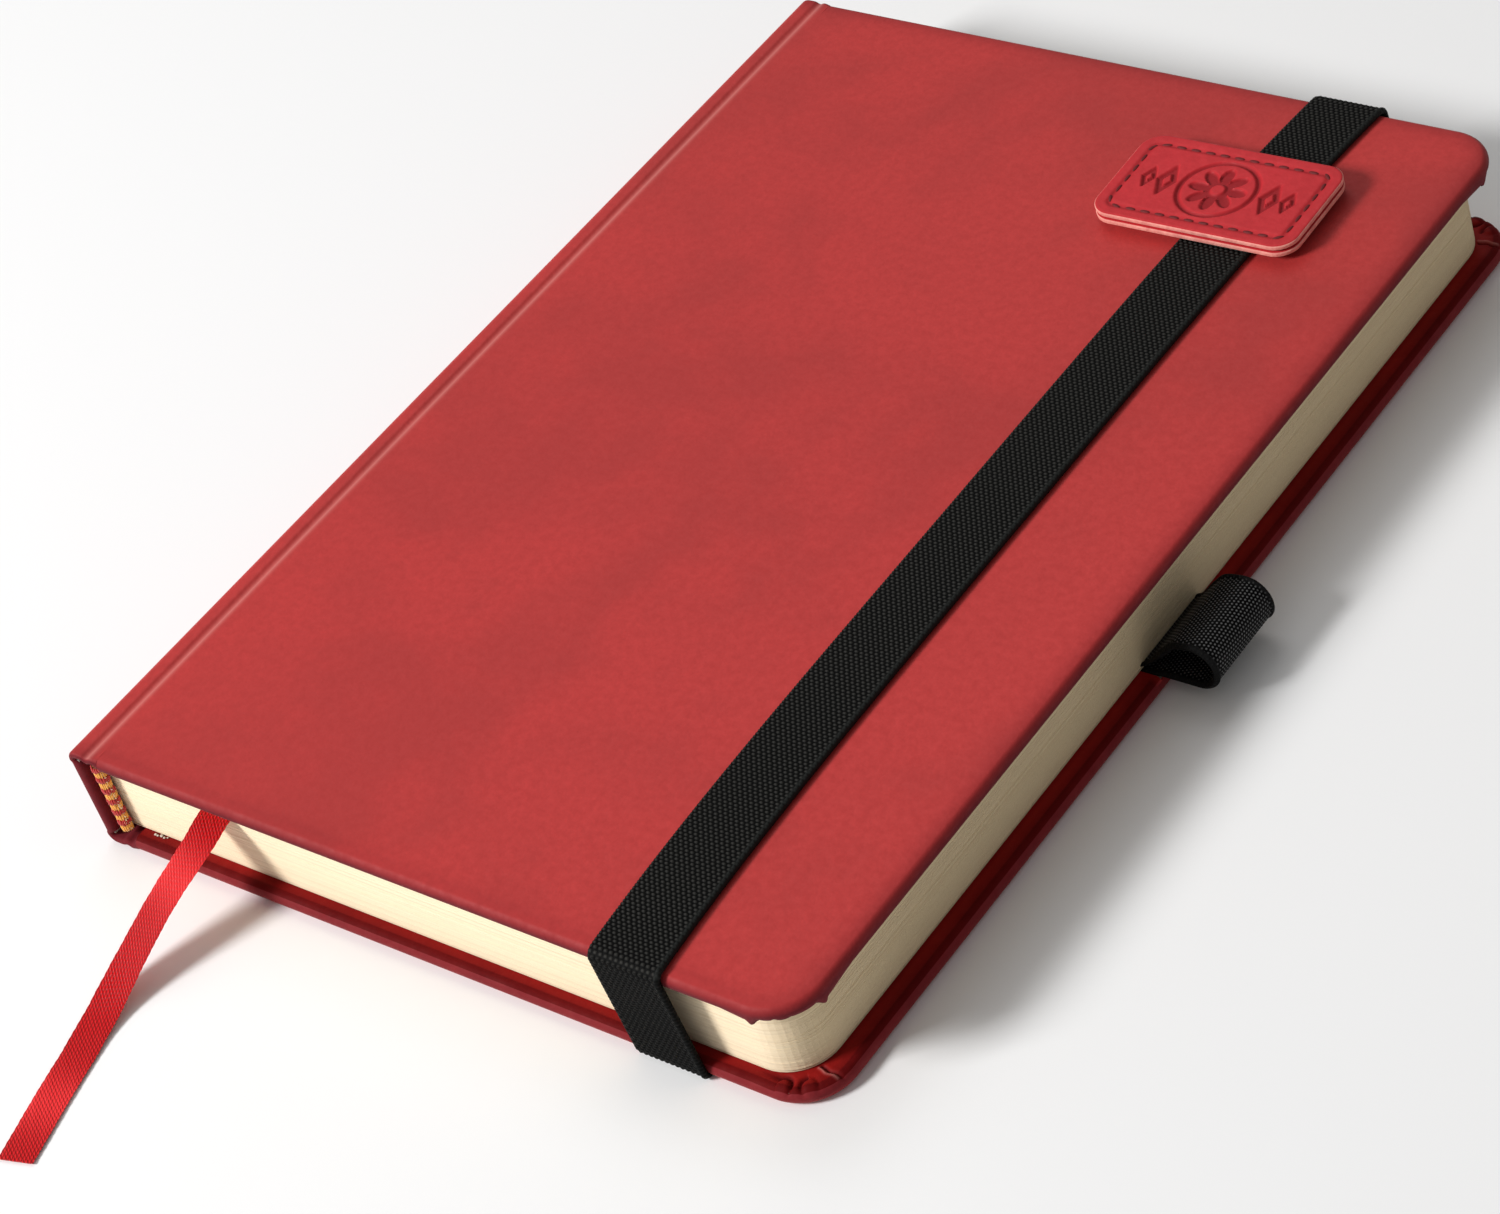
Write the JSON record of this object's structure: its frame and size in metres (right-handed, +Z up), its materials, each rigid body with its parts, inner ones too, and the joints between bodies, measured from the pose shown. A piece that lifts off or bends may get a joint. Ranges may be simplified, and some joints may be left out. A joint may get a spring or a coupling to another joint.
{
  "type": "pocket notebook",
  "caption": "Closed hardback notebook with rounded corners, elastic closure with a leather tag, pen loop, ribbon marker and leaves that turn with the front cover.",
  "frame": {"origin": "middle of the back cover's underside, on which the closed book lies", "axes": "+X from the spine to the fore edge, +Y from the tail to the head, +Z up through the front cover"},
  "size_m": [0.1588, 0.2706, 0.0248],
  "materials": {
    "cover_leather": "satin",
    "grey_board": "matte",
    "endpaper": "matte",
    "page_paper": "matte",
    "lining_cloth": "matte",
    "sewing_thread": "matte",
    "headband_cloth": "satin",
    "woven_elastic": "matte",
    "tag_leather": "satin",
    "tag_thread": "matte",
    "loop_elastic": "matte",
    "ribbon_satin": "satin"
  },
  "bodies": {
    "book_block": {"back_board": "grey_board", "back_cover_skin": "cover_leather", "back_pastedown": "endpaper", "back_joint_skin": "cover_leather", "spine_board": "grey_board", "spine_skin": "cover_leather", "spine_lining": "lining_cloth", "sewing_thread": "sewing_thread", "signature_1": "page_paper", "signature_2": "page_paper", "signature_3": "page_paper", "signature_4": "page_paper", "signature_5": "page_paper", "signature_6": "page_paper", "signature_7": "page_paper", "signature_8": "page_paper", "back_flyleaf": "endpaper", "leaf_guards": "page_paper", "headband_tail": "headband_cloth", "headband_head": "headband_cloth", "front_joint_skin": "cover_leather", "front_endpaper_fold": "endpaper", "elastic_anchors": "woven_elastic", "pen_loop_root": "loop_elastic", "ribbon_in_pages": "ribbon_satin", "ribbon_free": "ribbon_satin"},
    "front_cover": {"front_board": "grey_board", "front_cover_skin": "cover_leather", "front_pastedown": "endpaper"},
    "front_flyleaf": {"front_flyleaf": "endpaper"},
    "leaf_1": {"leaf_1": "page_paper"},
    "leaf_2": {"leaf_2": "page_paper"},
    "leaf_3": {"leaf_3": "page_paper"},
    "leaf_4": {"leaf_4": "page_paper"},
    "leaf_5": {"leaf_5": "page_paper"},
    "elastic": {"elastic_band": "woven_elastic", "tag_lower_layer": "tag_leather", "tag_upper_layer": "tag_leather", "tag_stitching": "tag_thread"},
    "pen_loop": {"pen_loop": "loop_elastic"}
  },
  "joints": [
    {"name": "front_cover_hinge", "type": "hinge", "parent": "book_block", "child": "front_cover", "pos_m": [-0.071, 0, 0.0186], "axis": [0, -1, 0], "range_deg": [0, 186], "deforming": ["front_joint_skin", "front_endpaper_fold"]},
    {"name": "front_flyleaf_turn", "type": "hinge", "parent": "book_block", "child": "front_flyleaf", "pos_m": [-0.071, 0, 0.0213], "axis": [0, -1, 0], "range_deg": [0, 186.01]},
    {"name": "leaf_1_turn", "type": "hinge", "parent": "book_block", "child": "leaf_1", "pos_m": [-0.071, 0, 0.0213], "axis": [0, -1, 0], "range_deg": [0, 183.22]},
    {"name": "leaf_2_turn", "type": "hinge", "parent": "book_block", "child": "leaf_2", "pos_m": [-0.071, 0, 0.0213], "axis": [0, -1, 0], "range_deg": [0, 179.5]},
    {"name": "leaf_3_turn", "type": "hinge", "parent": "book_block", "child": "leaf_3", "pos_m": [-0.071, 0, 0.0213], "axis": [0, -1, 0], "range_deg": [0, 174.85]},
    {"name": "leaf_4_turn", "type": "hinge", "parent": "book_block", "child": "leaf_4", "pos_m": [-0.071, 0, 0.0213], "axis": [0, -1, 0], "range_deg": [0, 169.27]},
    {"name": "leaf_5_turn", "type": "hinge", "parent": "book_block", "child": "leaf_5", "pos_m": [-0.071, 0, 0.0213], "axis": [0, -1, 0], "range_deg": [0, 161.83]},
    {"name": "elastic_pull_off", "type": "slide", "parent": "book_block", "child": "elastic", "axis": [1, 0, 0], "range_m": [0, 0.052], "stiffness_N_per_m": 40},
    {"name": "pen_loop_flex", "type": "hinge", "parent": "book_block", "child": "pen_loop", "pos_m": [0.0742, -0.00225, 0.0037], "axis": [0, -1, 0], "range_deg": [-15, 35], "stiffness_Nm_per_rad": 0.02}
  ],
  "couplings": [
    {"joint": "front_flyleaf_turn", "follows": "front_cover_hinge", "ratio": 1},
    {"joint": "leaf_1_turn", "follows": "front_cover_hinge", "ratio": 0.985},
    {"joint": "leaf_2_turn", "follows": "front_cover_hinge", "ratio": 0.965},
    {"joint": "leaf_3_turn", "follows": "front_cover_hinge", "ratio": 0.94},
    {"joint": "leaf_4_turn", "follows": "front_cover_hinge", "ratio": 0.91},
    {"joint": "leaf_5_turn", "follows": "front_cover_hinge", "ratio": 0.87}
  ]
}
